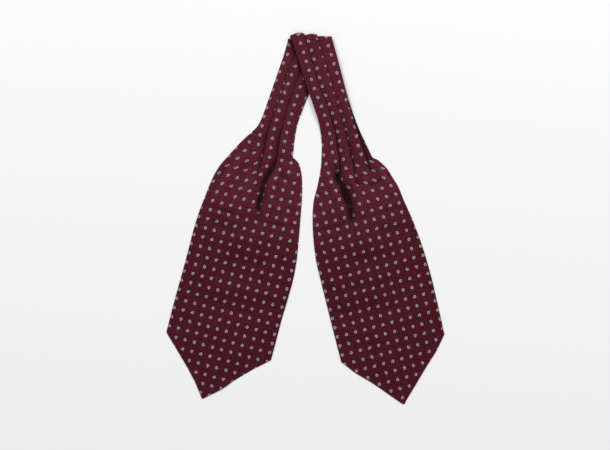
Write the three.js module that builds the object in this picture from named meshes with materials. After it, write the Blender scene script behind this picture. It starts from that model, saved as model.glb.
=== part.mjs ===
// Silk day cravat laid flat: a knife-pleated neckband folded in half, with two wide pointed blades.
// Millimetres, +Z up. The origin is on the surface it lies on, under the middle of the whole outline.
import * as THREE from 'three';

const CLOTH = 1.2;               // thickness of the silk wall
const SEAM_GAP = 0.3;            // space between neighbouring pieces
const LIFT = CLOTH + SEAM_GAP;   // rise of one pleat over the next
const STRIP_HEIGHT = LIFT + CLOTH;
const CROSS_LIFT = STRIP_HEIGHT + SEAM_GAP; // the right leg lies on the left leg where they cross
const LEG_ANGLE = Math.PI / 12;  // each leg leans 15 degrees out of the vertical
const FOLD_X = 7.3;              // middle of the fold at the top
const FOLD_Y = 259.4;
const BAND_START = 4;            // the pleated strips start this far below the fold
const BLADE_START = 195;         // the pleats are released here and the blade begins
const SQUARE_FROM = 20;          // sections are level above this and square to the leg further down
const SQUARE_BY = 150;
const UNDERLAP = 6;              // hidden width of each pleat under its neighbour
const PLEAT_FOOT = 1.5;          // flat margin beside each pleat before it starts to rise
const CROSS_END = 95;            // the right leg starts to come down to the surface
const CROSS_DOWN = 150;
const RAIL_END = 280;            // below this the pleat lines keep their share of the width
const BLADE_COLUMNS = 4;         // divisions across one panel of a blade
const STEP_WIDTH = 1.2;          // width of the slope that a released pleat leaves
const SLOPE_SHARE = 0.8;         // share of a released panel over which it rises
const TURN_SEAM = 0.5;           // space between the turn and the strips it joins

// Distance along the leg, then the offsets of its edges and pleat lines from the leg's axis.
const RIGHT_LEG = {
  side: 1,
  rails: ['left', 'first', 'second', 'third', 'right'],
  released: { first: 262, second: 222, third: 205 },
  sections: [
    { along: 0, left: -27, first: -10, second: 7.5, third: 20.5, right: 28.5 },
    { along: 25, left: -26, first: -9, second: 8, third: 21.5, right: 28.7 },
    { along: 50, left: -25, first: -8, second: 9.5, third: 22.5, right: 28.8 },
    { along: 75, left: -23.5, first: -7.5, second: 10.5, third: 24.5, right: 28.5 },
    { along: 100, left: -21.5, first: -4.5, second: 11, third: 25.5, right: 28.8 },
    { along: 125, left: -20.5, first: -2.5, second: 10.7, third: 26.5, right: 30.2 },
    { along: 150, left: -23.8, first: -3.5, second: 11.3, third: 28, right: 33.1 },
    { along: 165, left: -27.7, first: -5.8, second: 10.9, third: 29, right: 36 },
    { along: 180, left: -32.5, first: -7, second: 10.5, third: 29.8, right: 39 },
    { along: 195, left: -38.8, first: -10.7, second: 9.9, third: 30.3, right: 47.3 },
    { along: 210, left: -46.3, first: -15.2, second: 8, third: 31, right: 56.3 },
    { along: 225, left: -54.9, first: -13, second: 7.5, third: 31.7, right: 61 },
    { along: 240, left: -60.7, first: -10.2, second: 7.5, third: 32.2, right: 65.1 },
    { along: 260, left: -66.2, first: -11.6, second: 6.6, third: 32.7, right: 67.6 },
    { along: 280, left: -70.4, first: -15, second: 4.5, third: 34, right: 70.9 },
    { along: 310, left: -74.7, right: 74.6 },
    { along: 340, left: -75.6, right: 76.5 },
    { along: 370, left: -76.3, right: 77.1 },
    { along: 400, left: -76.7, right: 76.3 },
    { along: 430, left: -77.2, right: 75.2 },
    { along: 458, left: -77.5, right: 74 },
    { along: 478, left: -62.7, right: 57 },
    { along: 498, left: -42.9, right: 35.2 },
    { along: 519, left: -25.2, right: 13.8 },
    { along: 538.6, left: -8.6, right: -6.6 },
  ],
};

const LEFT_LEG = {
  side: -1,
  rails: ['left', 'second', 'first', 'right'],
  released: { first: 262, second: 215 },
  sections: [
    { along: 0, left: -29.5, second: -10, first: 9.5, right: 27.5 },
    { along: 25, left: -29.5, second: -13, first: 5, right: 25 },
    { along: 50, left: -31, second: -16, first: 1, right: 22.7 },
    { along: 75, left: -32.7, second: -17.5, first: -2, right: 20.3 },
    { along: 100, left: -34.4, second: -19.4, first: -3.6, right: 17.1 },
    { along: 125, left: -36.2, second: -21, first: -4.2, right: 14.6 },
    { along: 150, left: -43.4, second: -22, first: -3.6, right: 16.6 },
    { along: 165, left: -53, second: -20.7, first: -1.9, right: 19.8 },
    { along: 180, left: -61.5, second: -19.8, first: -0.2, right: 31.7 },
    { along: 195, left: -69.2, second: -19.7, first: 0.4, right: 39.4 },
    { along: 210, left: -76.4, second: -21.1, first: -5.9, right: 44.1 },
    { along: 225, left: -80.9, second: -22.1, first: -7.5, right: 47.7 },
    { along: 240, left: -83.5, second: -22.6, first: -7.3, right: 50.6 },
    { along: 260, left: -85.7, second: -21.9, first: -5.3, right: 54.3 },
    { along: 280, left: -88, second: -20.6, first: -3, right: 58 },
    { along: 310, left: -89.1, right: 63 },
    { along: 340, left: -88.8, right: 65.6 },
    { along: 370, left: -88.8, right: 65.3 },
    { along: 400, left: -89.1, right: 64.6 },
    { along: 430, left: -89.1, right: 64.7 },
    { along: 459, left: -88.8, right: 64.8 },
    { along: 478, left: -69, right: 43.4 },
    { along: 498, left: -48.5, right: 23.9 },
    { along: 517, left: -30.9, right: 7.8 },
    { along: 536.4, left: -16, right: -14 },
  ],
};

// Soft waves where a blade stands clear of the surface: place on the leg, reach each way, turn, rise.
const WAVES = {
  left_blade: [
    { across: 22, along: 228, wide: 26, long: 22, turn: 0.1, rise: 4 },
    { across: -52, along: 232, wide: 30, long: 16, turn: -0.35, rise: 2.5 },
    { across: -14, along: 318, wide: 60, long: 15, turn: 0.12, rise: 2 },
    { across: 30, along: 262, wide: 28, long: 14, turn: -0.3, rise: 2 },
  ],
  right_blade: [
    { across: -32, along: 236, wide: 18, long: 30, turn: 0.15, rise: 4 },
    { across: 44, along: 232, wide: 24, long: 18, turn: 0.3, rise: 2.5 },
    { across: 0, along: 322, wide: 56, long: 15, turn: -0.1, rise: 1.6 },
    { across: 14, along: 268, wide: 26, long: 14, turn: 0.35, rise: 1.8 },
  ],
};

// The turn at the top reaches up less towards its right end, a row for each change in its outline.
const TURN = [
  { x: -23.2, reach: 2.2 }, { x: -18, reach: 4 }, { x: -12, reach: 4.9 }, { x: -6, reach: 4.9 },
  { x: -2, reach: 3.6 }, { x: 9, reach: 3 }, { x: 13, reach: 1.2 }, { x: 20, reach: 0.6 },
  { x: 35.5, reach: 0.4 },
];
const TURN_SIDES = 8;

const SILK = { color: 0x4b1c22, roughness: 0.5, metalness: 0 };

const smooth = (value, low, high) => THREE.MathUtils.smoothstep(value, low, high);

// Offset of one edge or pleat line at a distance along the leg.
function rail(leg, name, along) {
  const last = leg.sections.find((section) => section.along === RAIL_END);
  if (along > RAIL_END && name !== 'left' && name !== 'right') {
    const share = (last[name] - last.left) / (last.right - last.left);
    const left = rail(leg, 'left', along);
    return left + share * (rail(leg, 'right', along) - left);
  }
  const below = Math.max(1, leg.sections.findIndex((section) => section.along >= along));
  const upper = leg.sections[below - 1];
  const lower = leg.sections[below];
  const part = (along - upper.along) / (lower.along - upper.along);
  return upper[name] + part * (lower[name] - upper[name]);
}

// A point of the leg in the cravat's own frame.
function place(leg, across, along) {
  const level = 1 - smooth(along, SQUARE_FROM, SQUARE_BY);
  const down = along + leg.side * Math.tan(LEG_ANGLE) * level * across;
  const x = FOLD_X + leg.side * down * Math.sin(LEG_ANGLE) + across * Math.cos(LEG_ANGLE);
  const y = FOLD_Y - down * Math.cos(LEG_ANGLE) + leg.side * across * Math.sin(LEG_ANGLE);
  return { x, y };
}

// The right leg is carried over the left one and comes down to the surface below the crossing.
function baseHeight(leg, along) {
  return leg.side > 0 ? CROSS_LIFT * (1 - smooth(along, CROSS_END, CROSS_DOWN)) : 0;
}

// A closed wall between an underside and the same points raised by the cloth's thickness.
function wall(sections, thickness) {
  const rows = sections.length;
  const columns = sections[0].length;
  const points = [];
  for (const rise of [0, thickness]) {
    for (const section of sections) {
      for (const point of section) points.push(point.x, point.y, point.z + rise);
    }
  }
  const top = rows * columns;
  const at = (row, column) => row * columns + column;
  const faces = [];
  const quad = (a, b, c, d) => faces.push(a, b, c, a, c, d);
  for (let row = 0; row < rows - 1; row += 1) {
    for (let column = 0; column < columns - 1; column += 1) {
      const corners = [at(row, column), at(row + 1, column), at(row + 1, column + 1), at(row, column + 1)];
      quad(corners[3], corners[2], corners[1], corners[0]);
      quad(...corners.map((corner) => corner + top));
    }
    quad(at(row, 0), at(row + 1, 0), at(row + 1, 0) + top, at(row, 0) + top);
    const end = columns - 1;
    quad(at(row + 1, end), at(row, end), at(row, end) + top, at(row + 1, end) + top);
  }
  for (let column = 0; column < columns - 1; column += 1) {
    quad(at(0, column + 1), at(0, column), at(0, column) + top, at(0, column + 1) + top);
    const end = rows - 1;
    quad(at(end, column), at(end, column + 1), at(end, column + 1) + top, at(end, column) + top);
  }
  const geometry = new THREE.BufferGeometry();
  geometry.setAttribute('position', new THREE.Float32BufferAttribute(points, 3));
  geometry.setIndex(faces);
  geometry.computeVertexNormals();
  return geometry;
}

// Columns across one pleat panel: hidden underlap, foot, slope and the raised part that covers its neighbour.
function panelColumns(leg, along, inner, outer, first, last) {
  const way = leg.side;
  const from = rail(leg, inner, along);
  const to = rail(leg, outer, along);
  const start = first ? from : from - way * UNDERLAP;
  if (last) {
    return [[start, 0], [(start + to) / 2, 0], [to, 0]];
  }
  const foot = from + way * PLEAT_FOOT;
  const shelf = to - way * (UNDERLAP + SEAM_GAP * 2);
  return [[start, 0], [foot, 0], [(foot + shelf) / 2, LIFT / 2], [shelf, LIFT], [to, LIFT]];
}

// One pleat of a neckband, from the fold at the top to where the pleats are released.
function pleat(leg, index) {
  const order = leg.side > 0 ? leg.rails : [...leg.rails].reverse();
  const first = index === 0;
  const last = index === order.length - 2;
  const rows = leg.sections.map((section) => section.along).filter((along) => along < BLADE_START && along > 0);
  const sections = [BAND_START, ...rows, BLADE_START].map((along) => {
    const columns = panelColumns(leg, along, order[index], order[index + 1], first, last);
    if (leg.side < 0) columns.reverse();
    const base = baseHeight(leg, along);
    return columns.map(([across, rise]) => ({ ...place(leg, across, along), z: base + rise }));
  });
  return wall(sections, CLOTH);
}

// Height of the underside of a blade: what is left of the pleats, and its waves.
function bladeRise(waves, across, along, covered) {
  let rise = covered;
  for (const wave of waves) {
    const right = across - wave.across;
    const down = along - wave.along;
    const u = (right * Math.cos(wave.turn) + down * Math.sin(wave.turn)) / wave.wide;
    const v = (down * Math.cos(wave.turn) - right * Math.sin(wave.turn)) / wave.long;
    const reach = Math.hypot(u, v);
    if (reach < 1) {
      const start = smooth(along, BLADE_START, BLADE_START + wave.long);
      rise += wave.rise * start * Math.cos(reach * Math.PI / 2) ** 2;
    }
  }
  return rise;
}

// A blade, from the released pleats to its point.
function blade(leg, waves) {
  const order = leg.side > 0 ? leg.rails : [...leg.rails].reverse();
  const rows = leg.sections.map((section) => section.along).filter((along) => along > BLADE_START);
  const sections = [BLADE_START + SEAM_GAP, ...rows].map((along) => {
    const columns = [];
    for (let panel = 0; panel < order.length - 1; panel += 1) {
      const last = panel === order.length - 2;
      const from = rail(leg, order[panel], along);
      const to = rail(leg, order[panel + 1], along);
      const release = last ? 0 : leg.released[order[panel + 1]];
      const height = last ? 0 : LIFT * (1 - smooth(along, BLADE_START, release));
      const step = panel === 0 ? 0 : Math.min(STEP_WIDTH, Math.abs(to - from) / 4);
      const start = from + leg.side * step;
      for (let column = 0; column <= BLADE_COLUMNS; column += 1) {
        const part = column / BLADE_COLUMNS;
        columns.push([start + part * (to - start), height * smooth(part, 0, SLOPE_SHARE)]);
      }
    }
    if (leg.side < 0) columns.reverse();
    return columns.map(([across, covered]) => ({
      ...place(leg, across, along),
      z: bladeRise(waves, across, along, covered),
    }));
  });
  return wall(sections, CLOTH);
}

// The rounded turn that joins the two halves of the neckband, a half tube that opens downwards.
function turn() {
  const outer = (CROSS_LIFT + STRIP_HEIGHT) / 2;
  const inner = SEAM_GAP;
  const back = FOLD_Y - BAND_START * Math.cos(LEG_ANGLE) + TURN_SEAM;
  const profile = (reach, radius) => {
    const ring = [];
    for (let side = 0; side <= TURN_SIDES; side += 1) {
      const angle = -Math.PI / 2 + Math.PI * side / TURN_SIDES;
      ring.push([reach + radius * Math.cos(angle), outer + radius * Math.sin(angle)]);
    }
    return ring;
  };
  const loops = TURN.map((section) => {
    const ring = [[0, 0], ...profile(section.reach, outer), [0, outer * 2], [0, outer + inner]];
    ring.push(...profile(section.reach, inner).reverse(), [0, outer - inner]);
    return ring.map(([out, z]) => [section.x, back + out, z]);
  });
  const count = loops[0].length;
  const points = loops.flat().flat();
  const faces = [];
  for (let row = 0; row < loops.length - 1; row += 1) {
    for (let side = 0; side < count; side += 1) {
      const next = (side + 1) % count;
      const a = row * count + side;
      const b = row * count + next;
      faces.push(a, b, a + count, b, b + count, a + count);
    }
  }
  const outline = loops[0].map(([, y, z]) => new THREE.Vector2(y, z));
  const caps = THREE.ShapeUtils.triangulateShape(outline, []);
  const end = (loops.length - 1) * count;
  for (const [a, b, c] of caps) {
    faces.push(a, c, b, end + a, end + b, end + c);
  }
  const geometry = new THREE.BufferGeometry();
  geometry.setAttribute('position', new THREE.Float32BufferAttribute(points, 3));
  geometry.setIndex(faces);
  geometry.computeVertexNormals();
  return geometry;
}

function piece(name, geometry) {
  const mesh = new THREE.Mesh(geometry, new THREE.MeshStandardMaterial(SILK));
  mesh.name = name;
  return mesh;
}

const cravat = new THREE.Group();
for (const [name, leg] of Object.entries({ left: LEFT_LEG, right: RIGHT_LEG })) {
  for (let index = 0; index < leg.rails.length - 1; index += 1) {
    cravat.add(piece(`${name}_pleat_${index + 1}`, pleat(leg, index)));
  }
  cravat.add(piece(`${name}_blade`, blade(leg, WAVES[`${name}_blade`])));
}
cravat.add(piece('neckband_turn', turn()));

export default cravat;
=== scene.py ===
"""Looks of a silk day cravat laid flat: two pleated legs of printed twill and the turn at the top."""
import math

import bmesh
import bpy
from bpy.props import FloatProperty, FloatVectorProperty, PointerProperty
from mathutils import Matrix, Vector, noise


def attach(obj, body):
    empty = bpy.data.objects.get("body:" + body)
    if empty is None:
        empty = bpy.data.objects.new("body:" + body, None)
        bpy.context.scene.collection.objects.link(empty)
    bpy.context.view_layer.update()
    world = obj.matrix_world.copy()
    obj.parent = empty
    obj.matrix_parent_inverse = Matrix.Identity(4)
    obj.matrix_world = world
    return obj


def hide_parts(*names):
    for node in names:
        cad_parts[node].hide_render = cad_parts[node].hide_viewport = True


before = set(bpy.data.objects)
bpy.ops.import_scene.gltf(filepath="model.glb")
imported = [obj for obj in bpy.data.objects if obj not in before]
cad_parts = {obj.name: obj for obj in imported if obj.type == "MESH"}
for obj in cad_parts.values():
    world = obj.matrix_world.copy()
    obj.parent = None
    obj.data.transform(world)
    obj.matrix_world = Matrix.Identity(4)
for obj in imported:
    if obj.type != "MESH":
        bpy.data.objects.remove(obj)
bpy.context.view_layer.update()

bl_info = {
    "name": "Silk day cravat",
    "version": (1, 0, 0),
    "blender": (4, 5, 0),
    "location": "3D View > Sidebar > Cravat",
    "description": "Makes a pleated silk day cravat laid flat, with its printed twill",
    "category": "Add Mesh",
}

MM = 0.001
LEG_LEAN = math.radians(15)
FOLD_X, FOLD_Y = 7.3, 259.4          # middle of the fold at the top, mm
BAND_START = 4                       # the turn reaches down to here, mm below the fold
SQUARE_FROM, SQUARE_BY = 20, 150     # sections are level above, square to the leg below
CROSS_LIFT = 3.5                     # rise of the right leg where it crosses over the left, mm
CROSS_END, CROSS_DOWN = 95, 150      # it starts to come down at the first and is down by the second
CORNER = 458                         # the blade's edges turn in to its point below this
SLANT_FROM = CORNER - 30             # the edges count as slanting from here, mm
SLANT, TIP_SLANT = 0.72, 0.8         # true distance for each mm across, and along, at the point
ROW_STEP = 2.6                       # mm between sections
PANEL_COLUMNS = 15
HEM_OFFSETS = (0, 0.8, 1.6, 2.6, 4.2)
HEM_FULL = 14                        # the hem is narrower on a panel under this width, mm
HEM_EDGE, HEM_TOP, HEM_DEPTH = 0.9, 2.0, 4.2  # the rolled rim rises and falls between these, mm
HEM_HEIGHT = 0.42
PLEAT_GROWS = 32                     # length over which a pleat reaches its depth, mm
WIDEST_TUCK = 0.7                    # a pleat's tuck is at most this share of its panel
RISE_SHARE = 0.72                    # share of a panel over which it rises towards its nose
RELEASED_STEP = 1.6                  # width of the slope that a released pleat leaves, mm
REST_GAP, LOWEST = 0.05, 0.02        # the shell lies, and stays, this far over the surface, mm
CROWN, CROWN_FULL = 0.32, 12         # a strip's crown in layers, and the width from which it is full
CROWN_FROM, CROWN_BY = 190, 250      # the crowns fade out between these, mm along the leg
FOLLOW_FROM, FOLLOW_BY = 150, 245    # the print runs with the first pleat line above these
FREE_FROM, FREE_BY = 185, 250        # the blade comes free of its pleats between these
CREASED_FROM, CREASED_BY = 150, 200  # the creases begin between these

# The cloth stands up within these distances of its edges, in mm, by noise of these scales.
BILLOW_WIDTH, UNEVEN_WIDTH, FOLD_EDGE = 26, 16, 10
CURL, CURL_WIDTH, CURL_SCALE = 0.7, 14, 0.03
RIPPLE, RIPPLE_SCALE, SHAKE_SCALE = 0.22, 0.075, 0.024
CREASE_BEND, CREASE_END = 0.06, 1.6  # a crease's bow, and its soft ends in half widths
CREASE_REACH, CREASE_FALL = 2, 2.2   # where a crease stops, in half widths, and how steeply it fades

# Shade of the cloth down beside a pleat, in a trough and beside the crossing; lengths in mm.
VALLEY_FROM, VALLEY_BY = 105, 160    # the valleys get darker and wider between these
VALLEY_FLOOR, VALLEY, VALLEY_WIDENS = 0.5, 1.3, 1.5
WIDE_VALLEY, WIDE_VALLEY_PANEL = 4.5, 3
NOSE_SHADE, TROUGH_SHADE, DARKEST_TROUGH = 0.15, 1.05, 4.6
SHADE_END_FROM, SHADE_END_BY = 0.95, 1.15  # shares of the crossing's length
OVER_SHADE, OVER_REACH = 0.55, 1.3
UNDER_SHADE, UNDER_REACH, UNDER_WIDENS, UNDER_WIDE_END = 0.85, 3.4, 3.0, 0.3

# Distance along each leg, then the offsets of its outer edges and pleat lines, counted from the
# side whose pleat lies on top. Along the edges below, the pleat lines keep their share of the width.
LEGS = {
    "right": {
        "side": 1,
        "rails": (
            (0, -27, -10, 7.5, 20.5, 28.5), (25, -26, -9, 8, 21.5, 28.7),
            (50, -25, -8, 9.5, 22.5, 28.8), (75, -23.5, -7.5, 10.5, 24.5, 28.5),
            (100, -21.5, -4.5, 11, 25.5, 28.8), (125, -20.5, -2.5, 10.7, 26.5, 30.2),
            (150, -23.8, -3.5, 11.3, 28, 33.1), (165, -27.7, -5.8, 10.9, 29, 36),
            (180, -32.5, -7, 10.5, 29.8, 38.6), (190, -36.6, -9.3, 10.1, 30.1, 41),
            (193, -37.9, -10, 10, 30.2, 45.4), (202, -42.3, -12.8, 9, 30.6, 52),
            (210, -46.3, -15.2, 8, 31, 56.3), (225, -54.9, -13, 7.5, 31.7, 61),
            (240, -60.7, -10.2, 7.5, 32.2, 65.1), (260, -66.2, -11.6, 6.6, 32.7, 67.6),
            (280, -70.4, -15, 4.5, 34, 70.9),
        ),
        "edges": (
            (310, -74.7, 74.6), (340, -75.6, 76.5), (370, -76.3, 77.1), (400, -76.7, 76.3),
            (430, -77.2, 75.2), (458, -77.5, 74), (478, -62.7, 57), (498, -42.9, 35.2),
            (519, -25.2, 13.8), (538.6, -8.6, -6.6),
        ),
        # pleat: where it begins and opens, where it is flat, cloth hidden in it, tuck that is shown
        "pleats": ((-40, 182, 264, 15, 9), (-40, 170, 236, 15, 8), (96, 168, 214, 15, 8)),
    },
    "left": {
        "side": -1,
        "rails": (
            (0, -27.5, -9.5, 10, 29.5), (25, -25, -5, 13, 29.5), (50, -22.7, -1, 16, 31),
            (75, -20.3, 2, 17.5, 32.7), (100, -17.1, 3.6, 19.4, 34.4),
            (125, -14.6, 4.2, 21, 36.2), (141, -15.6, 3.9, 21.6, 38.9), (150, -16.6, 3.6, 22, 43.4),
            (165, -19, 1.9, 20.7, 53), (173, -20.6, 1, 20.2, 57.8),
            (176, -27.2, 0.6, 20, 59.4), (181, -32.2, 0.1, 19.8, 62),
            (195, -39.4, -0.4, 19.7, 69.2), (210, -44.1, 5.9, 21.1, 76.4),
            (225, -47.7, 7.5, 22.1, 80.9), (240, -50.6, 7.3, 22.6, 83.5),
            (260, -54.3, 5.3, 21.9, 85.7), (280, -58, 3, 20.6, 88),
        ),
        "edges": (
            (310, -63, 89.1), (340, -65.6, 88.8), (370, -65.3, 88.8), (400, -64.6, 89.1),
            (430, -64.7, 89.1), (459, -64.8, 88.8), (478, -43.4, 69), (498, -23.9, 48.5),
            (517, -7.8, 30.9), (536.4, 14, 16),
        ),
        "pleats": ((-40, 187, 264, 22, 10), (-10, 162, 225, 22, 9)),
    },
}

# Soft troughs (negative) and ridges, listed one by one: where each starts and ends on the leg, its
# half width and its height, in mm. Offsets are counted as in the tables above.
CREASES = {
    "right": (
        # start across, along, end across, along, half width, height
        (70, 264, 38, 267, 3, -1.5), (36, 266, 3, 268, 2.6, -1.0), (-22, 271, -64, 266, 3, -1.6),
        (-14, 186, -15, 208, 3.2, -3.6), (-16, 206, -11, 234, 7.5, -4.6),
        (-10, 230, -11, 262, 9, -4.4), (-27, 212, -25, 250, 9, 3.2),
        (3, 214, 4, 252, 7, 2.4), (10, 219, 28, 227, 3.5, -1.4), (28, 227, 45, 225, 3.5, -1.5),
        (29, 201, 37, 211, 3, -1.4), (30, 190, 42, 190, 3, -1.6), (42, 208, 52, 240, 8, 2.0),
        (18, 206, 22, 244, 6, 1.6), (-40, 244, -58, 256, 6, 1.2), (-48, 350, 10, 356, 13, 1.7),
        (12, 352, 52, 340, 12, 1.2), (-30, 300, 20, 312, 16, 1.3), (-60, 420, -20, 440, 16, 1.0),
        (10, 424, 60, 412, 18, 1.2), (30, 292, 66, 300, 9, -1.0), (-20, 326, 30, 330, 10, -0.9),
        (-54, 388, 0, 396, 14, -0.9), (-14, 476, 10, 500, 12, 0.9), (-62, 296, -40, 330, 9, 1.1),
    ),
    "left": (
        (86, 266, 50, 271, 3, -1.7), (48, 271, 8, 272, 2.6, -1.2), (8, 272, -28, 270, 3, -1.6),
        (-30, 270, -54, 266, 2.8, -1.0), (3, 186, 6, 208, 3, -3.4),
        (7, 204, 8, 240, 5.5, -4.4), (8, 238, 6, 262, 6, -3.2),
        (-6, 208, -10, 246, 8, 3.2), (22, 214, 26, 252, 9, 2.2), (-4, 178, -26, 175, 3, -2.2),
        (-9, 201, -18, 206, 5, -2.6), (-26, 200, -34, 236, 8, 2.6), (44, 190, 60, 236, 9, 2.0),
        (66, 206, 74, 244, 6, -1.1), (38, 184, 42, 220, 5, -1.2), (12, 376, -58, 362, 13, 1.8),
        (70, 366, 20, 376, 14, 1.2), (60, 310, 0, 300, 15, 1.2), (20, 332, -40, 322, 11, -0.9),
        (74, 424, 20, 436, 17, 1.1), (0, 420, -50, 412, 16, 1.1), (50, 396, -10, 400, 13, -0.9),
        (34, 470, 10, 500, 12, 0.9), (70, 286, 40, 294, 9, -0.9), (-48, 290, -30, 330, 9, 1.0),
    ),
}

# Reach of the turn above the strips at each place along the fold, in mm.
TURN_REACH = (
    (-23.2, 2.2), (-18, 4), (-12, 4.9), (-6, 4.9), (-2, 3.9), (9, 3.6), (13, 2.6), (20, 2.2),
    (35.5, 2.0),
)
TURN_ROWS, TURN_LEAN_ROWS, TURN_SHADE_ROWS = 14, 3, 6
TURN_FLOOR, TURN_SHORTEST, TURN_OVER = 0.35, 0.3, 0.42  # mm
TURN_HEIGHT = 6.9                    # mm, over both halves of the neckband
TURN_LEFT, TURN_SPREAD, TURN_SHIFT = -20.6, 14, 2.4  # the turn's left end leans out, mm
CROSS_TOP, CROSS_LOW = (-21.8, 258.2), (4.5, 175.9)  # the edge of the right leg over the left

# The repeat's ring and heart fade out between these shares of the motif's radius.
RING_EDGE, HEART_EDGE = (0.92, 1.18), (0.44, 0.72)
MOTIF_TURN, ROW_TURN, FIRST_TURN = math.pi * 0.92, 1.1, 0.45  # turns of the motifs, radians
TAIL_CURL, TAIL_TAPER, TAIL_STRETCH = 2.6, 3.4, 0.12
SHEEN_AND_WEAR_FROM, SHEEN_AND_WEAR_BY = 0.235, 0.32     # the ground is lighter above these, m along it: painted sheen of the pressed silk, with some wear
WORN_SCALE, SPECKLE_SCALE, THREAD_SCALE, INK_SCALE, SOFT_SCALE = 9.0, 420.0, 760.0, 300.0, 60.0
TWILL_PITCH = 0.62 * MM
FOLD_SHADE_COLOUR = (0.0035, 0.0008, 0.0012)   # painted shade: colour the silk is darkened to down in a fold

# name, place in m, size in m, power in W
LIGHTS = (("window", (-1.9, 2.6, 2.1), 1.6, 82), ("fill", (2.1, 2.3, 2.1), 1.6, 80))
ROOM_LIGHT = 0.62
SURFACE_TONE, SURFACE_REACH = 0.75, 6
CAMERA_SPOT, CAMERA_LENS, CAMERA_SENSOR = (-0.0005, -0.0087, 2.045), 85, 36


class CravatCloth(bpy.types.PropertyGroup):
    """Sizes of the silk."""
    thickness: FloatProperty(
        name="Thickness", description="Thickness of the silk", default=0.55 * MM, unit="LENGTH")
    layer: FloatProperty(
        name="Layer", description="Rise from one layer of a pleat to the next",
        default=1.2 * MM, unit="LENGTH")
    loft: FloatProperty(
        name="Loft", description="How far the middle of a blade stands off the surface",
        default=1.7 * MM, unit="LENGTH")
    unevenness: FloatProperty(
        name="Unevenness", description="Height of the cloth's slight waviness",
        default=0.75 * MM, unit="LENGTH")


class CravatPrint(bpy.types.PropertyGroup):
    """Colours and sizes of the printed repeat."""
    pitch: FloatProperty(
        name="Pitch", description="Distance from one motif to the next",
        default=13.4 * MM, unit="LENGTH")
    motif: FloatProperty(
        name="Motif", description="Radius of the round end of a teardrop",
        default=1.95 * MM, unit="LENGTH")
    ground: FloatVectorProperty(
        name="Ground", description="Colour of the silk", subtype="COLOR",
        default=(0.037, 0.0034, 0.0072))
    # painted sheen and wear: this lighter colour makes the faded patches and the upper legs, where
    # the pressed silk shows sheen
    worn_and_sheen: FloatVectorProperty(
        name="Worn and sheen ground", description="Colour of the silk where it has faded", subtype="COLOR",
        default=(0.066, 0.0090, 0.0165))
    thread: FloatVectorProperty(
        name="Bright thread", description="Colour of the threads that catch the light",
        subtype="COLOR", default=(0.098, 0.0042, 0.0125))
    ring: FloatVectorProperty(
        name="Ring", description="Colour of the teardrop's outline", subtype="COLOR",
        default=(0.36, 0.36, 0.385))
    heart: FloatVectorProperty(
        name="Heart", description="Colour of the teardrop's middle", subtype="COLOR",
        default=(0.035, 0.055, 0.065))


def smooth(value, low, high):
    """An eased share of the way from low to high, from 0 to 1."""
    part = min(1.0, max(0.0, (value - low) / (high - low)))
    return part * part * (3 - 2 * part)


def rail_table(leg):
    """One row for each section: distance along, then every edge and pleat line."""
    rows = [list(row) for row in leg["rails"]]
    last = rows[-1]
    shares = [(value - last[1]) / (last[-1] - last[1]) for value in last[2:-1]]
    for along, first, final in leg["edges"]:
        rows.append([along, first] + [first + s * (final - first) for s in shares] + [final])
    return rows


def rail(rows, column, along):
    """An edge or pleat line as a smooth curve, with a corner where the point begins."""
    index = 1
    while index < len(rows) - 1 and rows[index][0] < along:
        index += 1
    x0, x1 = rows[index - 1][0], rows[index][0]
    y0, y1 = rows[index - 1][column], rows[index][column]
    part = min(1.0, max(0.0, (along - x0) / (x1 - x0)))

    def slope(at):
        direct = (y1 - y0) / (x1 - x0)
        if at in (0, len(rows) - 1) or rows[at][0] > CORNER - 2:
            return direct
        above, below = rows[at - 1], rows[at + 1]
        return (below[column] - above[column]) / (below[0] - above[0])

    gap = x1 - x0
    square, cube = part * part, part ** 3
    value = (2 * cube - 3 * square + 1) * y0 + (3 * square - 2 * cube) * y1
    bend = (cube - 2 * square + part) * slope(index - 1) + (cube - square) * slope(index)
    return value + gap * bend


def place(side, across, along):
    """A point of a leg in the cravat's frame, and its true distance along the leg, in mm."""
    down = along + math.tan(LEG_LEAN) * (1 - smooth(along, SQUARE_FROM, SQUARE_BY)) * across
    offset = side * across
    x = FOLD_X + side * down * math.sin(LEG_LEAN) + offset * math.cos(LEG_LEAN)
    y = FOLD_Y - down * math.cos(LEG_LEAN) + side * offset * math.sin(LEG_LEAN)
    return x, y, down


def relief(name, across, along):
    """Soft troughs and ridges of a leg at a point, in mm."""
    total = 0.0
    for a0, t0, a1, t1, half, height in CREASES[name]:
        span = math.hypot(a1 - a0, t1 - t0)
        right, down = (a1 - a0) / span, (t1 - t0) / span
        part = (across - a0) * right + (along - t0) * down
        bend = CREASE_BEND * span * math.sin(math.pi * min(1, max(0, part / span)))
        off = (along - t0) * right - (across - a0) * down + bend
        beyond = max(-part, part - span, 0)
        reach = math.hypot(off / half, beyond / (half * CREASE_END))
        if reach < CREASE_REACH:
            total += height * math.exp(-CREASE_FALL * reach * reach)
    return total


def panel_shares(width, first, last):
    """Places of a panel's columns as shares of its width, closer together at an outer hem."""
    hem = [offset * min(1, width / HEM_FULL) for offset in HEM_OFFSETS]
    inner = width - hem[-1]
    if first:
        steps = range(1, PANEL_COLUMNS + 1)
        return [offset / width for offset in hem] + [
            (hem[-1] + inner * step / PANEL_COLUMNS) / width for step in steps]
    if last:
        return [inner / width * step / PANEL_COLUMNS for step in range(PANEL_COLUMNS)] + [
            1 - offset / width for offset in reversed(hem)]
    return [step / PANEL_COLUMNS for step in range(PANEL_COLUMNS + 1)]


def pleat_path(depth, kept):
    """A knife pleat over its nose, back under and round again, as rows of offset from the pleat
    line in mm, share of the panel's rise, and share of the pleat's hidden cloth."""
    return (
        (0.55 * kept, 0.75, 0.02), (0.05, 0.5, 0.06), (-depth * 0.5, 0.5, 0.3),
        (-depth, 0.5, 0.5), (-depth - 0.45 * kept, 0.27, 0.54), (-depth, 0.0, 0.58),
        (-depth * 0.5, 0.0, 0.78),
    )


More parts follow.
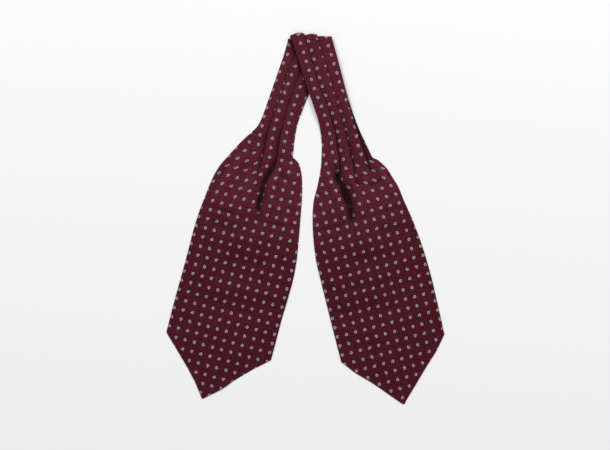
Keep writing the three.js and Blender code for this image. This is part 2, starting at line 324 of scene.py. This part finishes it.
def leg_section(name, rows, along, cloth):
    """The cloth's line across a leg: place, height and the cloth's own width coordinate, in mm,
    and how much shade is painted on it, down in or beside a fold, from 0 to 1 or a little over."""
    leg = LEGS[name]
    layer = cloth.layer / MM
    lines = [rail(rows, column, along) for column in range(1, len(rows[0]))]
    lifted = CROSS_LIFT * (1 - smooth(along, CROSS_END, CROSS_DOWN)) if leg["side"] > 0 else 0.0
    ground = lifted + cloth.thickness / MM / 2 + REST_GAP
    follow = 1 - smooth(along, FOLLOW_FROM, FOLLOW_BY)
    deep = smooth(along, VALLEY_FROM, VALLEY_BY)
    hidden = 0.0
    loose = 0.0
    kept_before = 0.0
    section = []
    last = len(lines) - 2
    for panel in range(last + 1):
        start, end = lines[panel] + loose, lines[panel + 1]
        width = end - start
        opened = 1.0
        if panel < last:
            begins, opens, flat, cloth_hidden, tuck = leg["pleats"][panel]
            opened = max(smooth(along, opens, flat), 1 - smooth(along, begins, begins + PLEAT_GROWS))
        kept = 1 - opened
        raised = 2 * layer * kept ** 0.4 if panel < last else 0.0
        fade = WIDE_VALLEY if panel == WIDE_VALLEY_PANEL else VALLEY + VALLEY_WIDENS * deep
        for share in panel_shares(width, panel == 0, panel == last):
            across = start + share * width
            crown = CROWN * max(0.0, math.sin(math.pi * share)) ** 0.7 * min(1, width / CROWN_FULL)
            crown *= 1 - smooth(along, CROWN_FROM, CROWN_BY)
            rise = raised * smooth(share, 0.0, RISE_SHARE) + crown * layer
            wide = across - lines[1] * follow + hidden
            beside = 0.0
            if panel:
                away = max(0.0, across - start - VALLEY_FLOOR)
                beside = kept_before * (0.7 + 0.7 * deep) * math.exp(-away / fade)
            section.append([across, ground + rise, wide, beside])
        if panel < last:
            depth = min(tuck, WIDEST_TUCK * width) * kept ** 0.7
            loose = RELEASED_STEP * opened
            path = pleat_path(depth, kept)
            for number, (offset, level, share) in enumerate(path):
                slack = loose * (number + 1) / (len(path) + 1)
                section.append([
                    end + offset + slack,
                    ground + raised * level,
                    end - lines[1] * follow + hidden + share * cloth_hidden * kept + slack,
                    kept * (NOSE_SHADE if number == 0 else 1.0),
                ])
            hidden += cloth_hidden * kept
            kept_before = kept ** 0.5
    return section, lines


def edge_distance(lines, across, along, tip):
    """Distance in from the leg's nearest outer edge or from its point, in mm."""
    slope = 1.0 if along < SLANT_FROM else SLANT
    return min((across - lines[0]) * slope, (lines[-1] - across) * slope, (tip - along) * TIP_SLANT)


def crossing_shade(side, x, y):
    """How deep in shade the cloth is beside the edge where the right leg crosses the left."""
    part = (CROSS_TOP[1] - y) / (CROSS_TOP[1] - CROSS_LOW[1])
    edge = CROSS_TOP[0] + (CROSS_LOW[0] - CROSS_TOP[0]) * part
    inside = 1 - smooth(part, SHADE_END_FROM, SHADE_END_BY)
    if side > 0:
        return OVER_SHADE * inside * math.exp(-max(0.0, x - edge) / OVER_REACH)
    reach = UNDER_REACH + UNDER_WIDENS * (1 - smooth(part, 0.0, UNDER_WIDE_END))
    return UNDER_SHADE * inside * math.exp(-max(0.0, edge - x) / reach)


def blade_lift(side, cloth, x, y, near):
    """How far a released blade stands up at a point that is near mm in from its edge, in mm."""
    billow = smooth(near, 0, BILLOW_WIDTH) * (cloth.loft / MM)
    shake = noise.noise(Vector((x * SHAKE_SCALE, y * SHAKE_SCALE, side * 3.7)))
    ripple = noise.noise(Vector((x * RIPPLE_SCALE, y * RIPPLE_SCALE, side * 8.1)))
    uneven = cloth.unevenness / MM * (shake + RIPPLE * ripple) * smooth(near, 0, UNEVEN_WIDTH)
    curl = noise.noise(Vector((x * CURL_SCALE, y * CURL_SCALE, 5.0)))
    curl *= 1 - smooth(near, 0, CURL_WIDTH)
    hem = smooth(near, 0, HEM_EDGE) * (1 - smooth(near, HEM_TOP, HEM_DEPTH))
    return billow + uneven + CURL * max(0.0, curl) + HEM_HEIGHT * hem


def new_grid(name, columns, rows, material):
    """A flat grid as a piece's start, with its vertices by row and column."""
    bm = bmesh.new()
    bm.loops.layers.uv.new("cloth")
    # layer for the painted shade down in the folds and beside the crossing
    bm.verts.layers.float.new("painted_fold_shade")
    bmesh.ops.create_grid(bm, x_segments=columns - 1, y_segments=rows - 1, size=1)
    table = {}
    for vertex in bm.verts:
        column = round((vertex.co.x + 1) / 2 * (columns - 1))
        row = round((1 - vertex.co.y) / 2 * (rows - 1))
        table[row, column] = vertex
    mesh = bpy.data.meshes.new(name)
    mesh.materials.append(material)
    return bm, table, mesh


def finish_sheet(name, bm, mesh, cloth_at, shade_at, cloth, nodes):
    """Writes the cloth coordinates and painted shade, gives the shell its thickness, fits it to the
    frame.
    """
    cloth_map = bm.loops.layers.uv["cloth"]
    painted_fold_shade = bm.verts.layers.float["painted_fold_shade"]
    for vertex in bm.verts:
        vertex[painted_fold_shade] = shade_at[vertex]
    for face in bm.faces:
        face.smooth = True
        for loop in face.loops:
            loop[cloth_map].uv = cloth_at[loop.vert]
    bm.normal_update()
    bm.to_mesh(mesh)
    bm.free()
    piece = bpy.data.objects.new(name, mesh)
    bpy.context.scene.collection.objects.link(piece)
    shell = piece.modifiers.new("Thickness", "SOLIDIFY")
    shell.thickness = cloth.thickness
    shell.offset = 0.0
    shell.use_rim = True
    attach(piece, "root")
    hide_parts(*nodes)
    return piece


def turn_reach(x):
    """Reach of the turn above the strips at a place along the fold, in mm."""
    for (x0, reach0), (x1, reach1) in zip(TURN_REACH, TURN_REACH[1:]):
        if x <= x1:
            return reach0 + (reach1 - reach0) * smooth(x, x0, x1)
    return TURN_REACH[-1][1]


def turn_column(table, column, first, cloth_at, shade_at):
    """Carries one line of the cloth round the turn, from the upper strips down to the lower ones."""
    x, y, top = first.co / MM
    low = max(TURN_FLOOR, TURN_HEIGHT - top)
    middle, radius = (top + low) / 2, (top - low) / 2
    straight = max(TURN_SHORTEST, turn_reach(x) + TURN_OVER)
    half = straight + math.pi * radius / 2
    lean = max(0.0, 1 - (x - TURN_LEFT) / TURN_SPREAD)
    wide, down = cloth_at[first]
    for step in range(1, TURN_ROWS + 1):
        travel = step / TURN_ROWS * 2 * half
        if travel < straight:
            out, z = travel, top
        elif travel > 2 * half - straight:
            out, z = 2 * half - travel, low
        else:
            angle = (travel - straight) / radius
            out, z = straight + radius * math.sin(angle), middle + radius * math.cos(angle)
        vertex = table[TURN_ROWS - step, column]
        moved = x - TURN_SHIFT * lean * smooth(step, 0, TURN_LEAN_ROWS)
        vertex.co = Vector((moved, y + out, z)) * MM
        cloth_at[vertex] = (wide, down - travel * MM)
        shade_at[vertex] = shade_at[first] * (1 - smooth(step, 0, TURN_SHADE_ROWS))


def make_leg(name, cloth, material):
    """One leg of the cravat as a single pleated sheet, from the turn to its point."""
    leg = LEGS[name]
    side = leg["side"]
    rows = rail_table(leg)
    tip = rows[-1][0]
    count = round((tip - BAND_START) / ROW_STEP)
    alongs = [BAND_START + (tip - BAND_START) * step / count for step in range(count + 1)]
    sections = [leg_section(name, rows, along, cloth) for along in alongs]
    columns = len(sections[0][0])
    turned = TURN_ROWS if side > 0 else 0
    bm, table, mesh = new_grid(f"{name}_leg", columns, len(alongs) + turned, material)
    cloth_at, shade_at = {}, {}
    floor = cloth.thickness / MM / 2 + LOWEST
    for row, along in enumerate(alongs):
        section, lines = sections[row]
        free = smooth(along, FREE_FROM, FREE_BY)
        creased = smooth(along, CREASED_FROM, CREASED_BY)
        for column, (across, height, wide, beside) in enumerate(section):
            x, y, down = place(side, across, along)
            near = edge_distance(lines, across, along, tip)
            fold = relief(name, across, along) * creased
            height += blade_lift(side, cloth, x, y, near) * free + fold * smooth(near, 0, FOLD_EDGE)
            sunk = min(1.0, max(0.0, -fold / DARKEST_TROUGH))
            at = column if side > 0 else columns - 1 - column
            vertex = table[row + turned, at]
            vertex.co = Vector((x, y, max(height, floor))) * MM
            cloth_at[vertex] = (side * wide * MM, down * MM)
            # painted shade: darker beside a pleat, in a trough and beside the crossing
            shade_at[vertex] = min(1.0, beside + TROUGH_SHADE * sunk + crossing_shade(side, x, y))
            if row == 0 and turned:
                turn_column(table, at, vertex, cloth_at, shade_at)
    nodes = [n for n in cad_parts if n.startswith(name)]
    if turned:
        nodes.append("neckband_turn")
    piece = finish_sheet(f"{name}_leg", bm, mesh, cloth_at, shade_at, cloth, nodes)
    return piece


class Nodes:
    """Short calls for a material's nodes."""

    def __init__(self, material):
        self.tree = material.node_tree
        self.shader = self.tree.nodes["Principled BSDF"]

    def add(self, kind, **settings):
        node = self.tree.nodes.new(kind)
        for key, value in settings.items():
            setattr(node, key, value)
        return node

    def math(self, operation, first, second=None):
        node = self.add("ShaderNodeMath", operation=operation)
        for socket, value in zip(node.inputs, (first, second)):
            if isinstance(value, (int, float)):
                socket.default_value = value
            elif value is not None:
                self.link(value, socket)
        return node.outputs[0]

    def link(self, source, target):
        self.tree.links.new(source, target)

    def mix(self, factor, first, second):
        node = self.add("ShaderNodeMix", data_type="RGBA")
        self.link(factor, node.inputs["Factor"])
        for socket, value in ((node.inputs[6], first), (node.inputs[7], second)):
            if isinstance(value, bpy.types.NodeSocket):
                self.link(value, socket)
            else:
                socket.default_value = (*value, 1)
        return node.outputs[2]

    def step(self, value, low, high):
        node = self.add("ShaderNodeMapRange", interpolation_type="SMOOTHSTEP")
        self.link(value, node.inputs["Value"])
        node.inputs["From Min"].default_value = low
        node.inputs["From Max"].default_value = high
        return node.outputs["Result"]

    def noise(self, vector, scale, detail=2.0):
        node = self.add("ShaderNodeTexNoise")
        self.link(vector, node.inputs["Vector"])
        node.inputs["Scale"].default_value = scale
        node.inputs["Detail"].default_value = detail
        return node.outputs["Fac"]


def silk_material(prints):
    """Printed silk twill: a square repeat of small curled teardrops that point by turns."""
    material = bpy.data.materials.new("printed silk")
    material.use_nodes = True
    n = Nodes(material)
    uv = n.add("ShaderNodeUVMap", uv_map="cloth").outputs["UV"]
    split = n.add("ShaderNodeSeparateXYZ")
    n.link(uv, split.inputs[0])
    wide, long = split.outputs["X"], split.outputs["Y"]
    cells_wide = n.math("DIVIDE", wide, prints.pitch)
    cells_long = n.math("DIVIDE", long, prints.pitch)
    column = n.math("FLOOR", cells_wide)
    row = n.math("FLOOR", cells_long)
    x = n.math("SUBTRACT", n.math("FRACT", cells_wide), 0.5)
    y = n.math("SUBTRACT", n.math("FRACT", cells_long), 0.5)
    # each motif is turned by its place in the repeat: alternate ones point the other way
    odd_row = n.math("FLOORED_MODULO", row, 2)
    odd = n.math("FLOORED_MODULO", n.math("ADD", column, row), 2)
    turn = n.math("ADD", n.math("MULTIPLY", odd, MOTIF_TURN),
                  n.math("ADD", n.math("MULTIPLY", odd_row, ROW_TURN), FIRST_TURN))
    cosine, sine = n.math("COSINE", turn), n.math("SINE", turn)
    u = n.math("ADD", n.math("MULTIPLY", x, cosine), n.math("MULTIPLY", y, sine))
    v = n.math("SUBTRACT", n.math("MULTIPLY", y, cosine), n.math("MULTIPLY", x, sine))
    # the teardrop: a round end with a tapering, curled tail
    tail = n.math("MAXIMUM", v, 0.0)
    curl = n.math("MULTIPLY", n.math("MULTIPLY", tail, tail), TAIL_CURL)
    narrow = n.math("ADD", n.math("MULTIPLY", tail, TAIL_TAPER), 1.0)
    bent = n.math("MULTIPLY", n.math("SUBTRACT", u, curl), narrow)
    stretch = n.math("SUBTRACT", v, n.math("MULTIPLY", tail, TAIL_STRETCH))
    away = n.math("SQRT", n.math("ADD", n.math("MULTIPLY", bent, bent),
                                 n.math("MULTIPLY", stretch, stretch)))
    radius = prints.motif / prints.pitch
    drop = n.math("SUBTRACT", 1.0, n.step(away, *(radius * share for share in RING_EDGE)))
    heart = n.math("SUBTRACT", 1.0, n.step(away, *(radius * share for share in HEART_EDGE)))
    # painted sheen and wear: the ground turns lighter in random patches and most above a line along
    # the leg, where the pressed silk shows sheen
    worn_and_sheen = n.noise(uv, WORN_SCALE, 3.0)
    high = n.math("SUBTRACT", 1.0, n.step(long, SHEEN_AND_WEAR_FROM, SHEEN_AND_WEAR_BY))
    sheen_and_wear_mask = n.math("ADD", n.math("MULTIPLY", high, 0.8), n.math("MULTIPLY", worn_and_sheen, 0.45))
    ground = n.mix(n.math("MINIMUM", sheen_and_wear_mask, 1.0), tuple(prints.ground), tuple(prints.worn_and_sheen))
    # the weave's diagonal, and threads that vary a little; scattered threads are painted brighter, a
    # painted glint where they catch the light
    rib = n.math("MULTIPLY", n.math("ADD", wide, long), 2 * math.pi / TWILL_PITCH)
    twill = n.math("ADD", n.math("MULTIPLY", n.math("SINE", rib), 0.5), 0.5)
    speckle = n.noise(uv, SPECKLE_SCALE, 3.0)
    shade = n.math("ADD", n.math("MULTIPLY", twill, 0.10), n.math("MULTIPLY", speckle, 2.6))
    threads = n.step(n.noise(uv, THREAD_SCALE, 1.0), 0.50, 0.72)
    ground = n.mix(n.math("MULTIPLY", threads, 0.55), ground, tuple(prints.thread))
    light = n.add("ShaderNodeHueSaturation")
    n.link(ground, light.inputs["Color"])
    n.link(n.math("ADD", shade, -0.33), light.inputs["Value"])
    ink = n.math("ADD", n.math("MULTIPLY", n.noise(uv, INK_SCALE, 1.0), 0.9), 0.42)
    printed = n.math("MULTIPLY", drop, n.math("MINIMUM", ink, 0.94))
    inked = n.mix(printed, light.outputs["Color"], tuple(prints.ring))
    colour = n.mix(n.math("MULTIPLY", heart, 0.92), inked, tuple(prints.heart))
    # painted shade: the colour is darkened down beside the pleats, in the troughs and beside the
    # crossing, where less light reaches
    depth = n.add("ShaderNodeAttribute", attribute_name="painted_fold_shade").outputs["Fac"]
    colour = n.mix(n.math("MULTIPLY", depth, 0.96), colour, FOLD_SHADE_COLOUR)
    n.link(colour, n.shader.inputs["Base Color"])
    rough = n.math("ADD", n.math("MULTIPLY", worn_and_sheen, 0.16), 0.46)
    n.link(n.math("ADD", rough, n.math("MULTIPLY", drop, 0.06)), n.shader.inputs["Roughness"])
    n.shader.inputs["Sheen Weight"].default_value = 0.03
    n.shader.inputs["Sheen Roughness"].default_value = 0.45
    n.shader.inputs["Sheen Tint"].default_value = (0.9, 0.55, 0.62, 1)
    n.shader.inputs["Specular IOR Level"].default_value = 0.16
    n.shader.inputs["Specular Tint"].default_value = (0.72, 0.34, 0.40, 1)
    bump = n.add("ShaderNodeBump")
    bump.inputs["Strength"].default_value = 0.30
    bump.inputs["Distance"].default_value = 0.00012
    n.link(n.math("ADD", twill, n.math("MULTIPLY", speckle, 0.8)), bump.inputs["Height"])
    soft = n.add("ShaderNodeBump")
    soft.inputs["Strength"].default_value = 0.35
    soft.inputs["Distance"].default_value = 0.0012
    n.link(n.noise(uv, SOFT_SCALE, 3.0), soft.inputs["Height"])
    n.link(bump.outputs[0], soft.inputs["Normal"])
    n.link(soft.outputs[0], n.shader.inputs["Normal"])
    return material


def silk(context):
    """The one silk that both legs are made of."""
    found = bpy.data.materials.get("printed silk")
    return found or silk_material(context.scene.cravat_print)


class CRAVAT_OT_left_leg(bpy.types.Operator):
    """Make the left leg, which lies under the right one"""
    bl_idname = "cravat.left_leg"
    bl_label = "Left leg"

    def execute(self, context):
        make_leg("left", context.scene.cravat_cloth, silk(context))
        return {"FINISHED"}


class CRAVAT_OT_right_leg(bpy.types.Operator):
    """Make the right leg, which crosses over the left one, and the turn that joins them at the top"""
    bl_idname = "cravat.right_leg"
    bl_label = "Right leg"

    def execute(self, context):
        make_leg("right", context.scene.cravat_cloth, silk(context))
        return {"FINISHED"}


class CRAVAT_OT_stage(bpy.types.Operator):
    """Make the pale surface, the soft lights and the camera above"""
    bl_idname = "cravat.stage"
    bl_label = "Stage"

    def execute(self, context):
        scene = context.scene
        floor_material = bpy.data.materials.new("pale surface")
        floor_material.use_nodes = True
        shader = floor_material.node_tree.nodes["Principled BSDF"]
        shader.inputs["Base Color"].default_value = (SURFACE_TONE, SURFACE_TONE, SURFACE_TONE, 1)
        shader.inputs["Roughness"].default_value = 0.9
        shader.inputs["Specular IOR Level"].default_value = 0.1
        bm = bmesh.new()
        bmesh.ops.create_grid(bm, x_segments=1, y_segments=1, size=SURFACE_REACH)
        mesh = bpy.data.meshes.new("surface")
        bm.to_mesh(mesh)
        bm.free()
        mesh.materials.append(floor_material)
        floor = bpy.data.objects.new("surface", mesh)
        scene.collection.objects.link(floor)
        for name, spot, size, power in LIGHTS:
            data = bpy.data.lights.new(name, "AREA")
            data.energy, data.size = power, size
            lamp = bpy.data.objects.new(name, data)
            lamp.location = spot
            lamp.rotation_euler = (-Vector(spot)).to_track_quat("-Z", "Y").to_euler()
            scene.collection.objects.link(lamp)
        world = bpy.data.worlds.new("soft room")
        world.use_nodes = True
        sky = world.node_tree.nodes["Background"]
        sky.inputs["Color"].default_value = (1, 1, 1, 1)
        sky.inputs["Strength"].default_value = ROOM_LIGHT
        scene.world = world
        scene.view_settings.view_transform = "Standard"
        data = bpy.data.cameras.new("camera")
        data.lens, data.sensor_width = CAMERA_LENS, CAMERA_SENSOR
        camera = bpy.data.objects.new("camera", data)
        camera.location = CAMERA_SPOT
        scene.collection.objects.link(camera)
        scene.camera = camera
        return {"FINISHED"}


class CRAVAT_PT_panel(bpy.types.Panel):
    """Sizes, colours and pieces of the cravat"""
    bl_idname = "CRAVAT_PT_panel"
    bl_label = "Silk cravat"
    bl_space_type = "VIEW_3D"
    bl_region_type = "UI"
    bl_category = "Cravat"

    def draw(self, context):
        layout = self.layout
        for group, names in (
                (context.scene.cravat_cloth, ("thickness", "layer", "loft", "unevenness")),
                (context.scene.cravat_print,
                 ("pitch", "motif", "ground", "worn_and_sheen", "thread", "ring", "heart"))):
            for name in names:
                layout.prop(group, name)
        for operator in OPERATORS:
            layout.operator(operator.bl_idname)


OPERATORS = (CRAVAT_OT_left_leg, CRAVAT_OT_right_leg, CRAVAT_OT_stage)
CLASSES = (CravatCloth, CravatPrint, *OPERATORS, CRAVAT_PT_panel)


def register():
    for item in CLASSES:
        bpy.utils.register_class(item)
    bpy.types.Scene.cravat_cloth = PointerProperty(type=CravatCloth)
    bpy.types.Scene.cravat_print = PointerProperty(type=CravatPrint)


def unregister():
    del bpy.types.Scene.cravat_print
    del bpy.types.Scene.cravat_cloth
    for item in reversed(CLASSES):
        bpy.utils.unregister_class(item)


def main():
    register()
    bpy.ops.cravat.left_leg()
    bpy.ops.cravat.right_leg()
    bpy.ops.cravat.stage()


if __name__ == "__main__":
    main()
